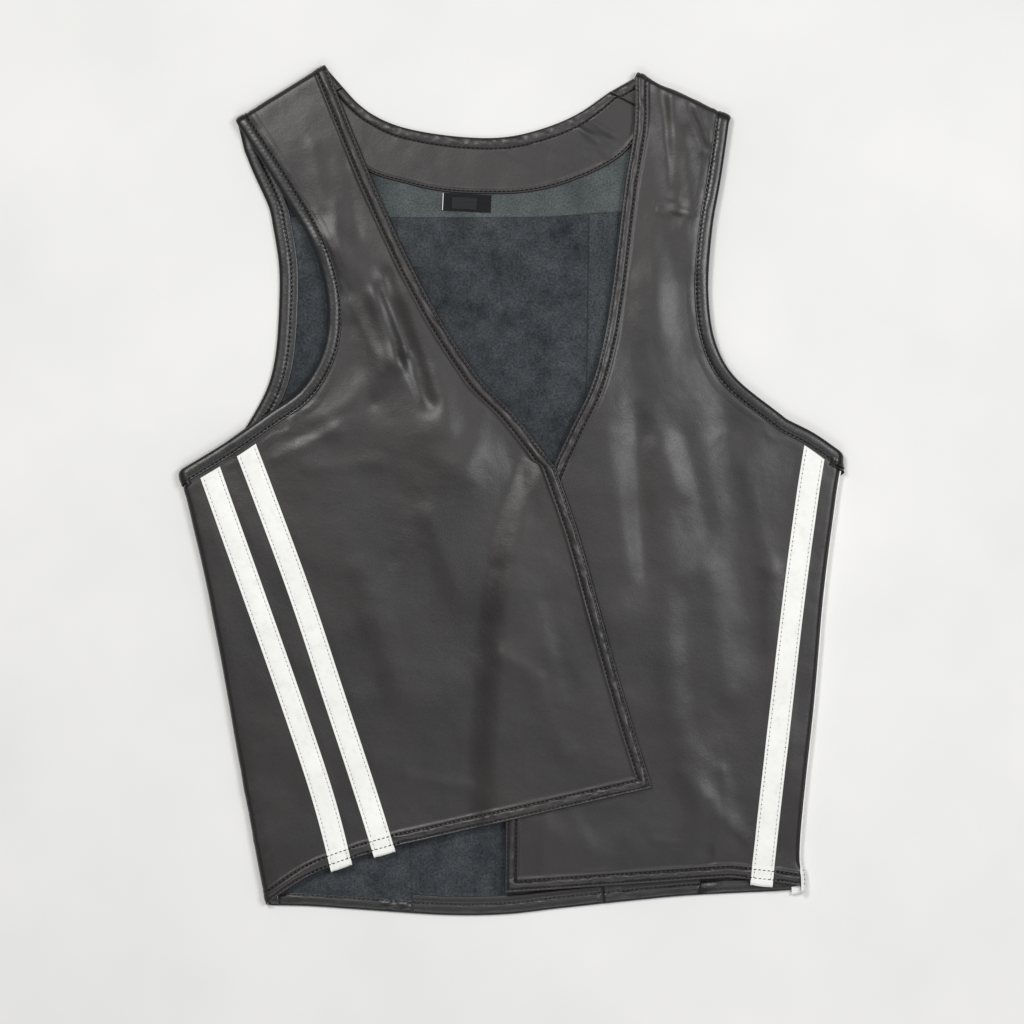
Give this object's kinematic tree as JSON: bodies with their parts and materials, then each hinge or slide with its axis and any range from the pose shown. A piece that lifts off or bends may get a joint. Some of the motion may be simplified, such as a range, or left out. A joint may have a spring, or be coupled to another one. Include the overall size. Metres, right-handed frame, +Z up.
{
  "type": "leather wrap vest laid flat",
  "caption": "Black leather wrap vest laid flat with its right front crossed over the left, bound armholes, a V neck with inner facing, and white side stripes.",
  "frame": {"origin": "middle of the underside, where the vest lies on a surface", "axes": "+X to the wearer's left, +Y to the neck, +Z up out of the fronts"},
  "size_m": [0.4996, 0.639, 0.0141],
  "materials": {
    "black_leather": "smooth black leather with a fine grain and a soft sheen",
    "flesh_side_blue": "napped flesh side of the leather, dark blue grey, smooth black outside",
    "flesh_side_grey": "napped flesh side of the leather, paler grey, smooth black outside",
    "white_leather": "smooth white leather with stitch holes along both edges",
    "label_cloth": "dense black woven label, bare"
  },
  "bodies": {
    "root": {"front_right": "black_leather", "front_left": "black_leather", "back_yoke": "flesh_side_grey", "back_centre": "flesh_side_blue", "back_side_right": "flesh_side_blue", "back_side_left": "flesh_side_blue", "neck_facing_back": "black_leather", "facing_front_right": "black_leather", "facing_front_left": "black_leather", "armhole_binding_right": "black_leather", "armhole_binding_left": "black_leather", "stripe_right_outer": "white_leather", "stripe_right_inner": "white_leather", "stripe_left_outer": "white_leather", "stripe_left_inner": "white_leather", "neck_label": "label_cloth", "size_tab": "label_cloth"}
  },
  "joints": []
}
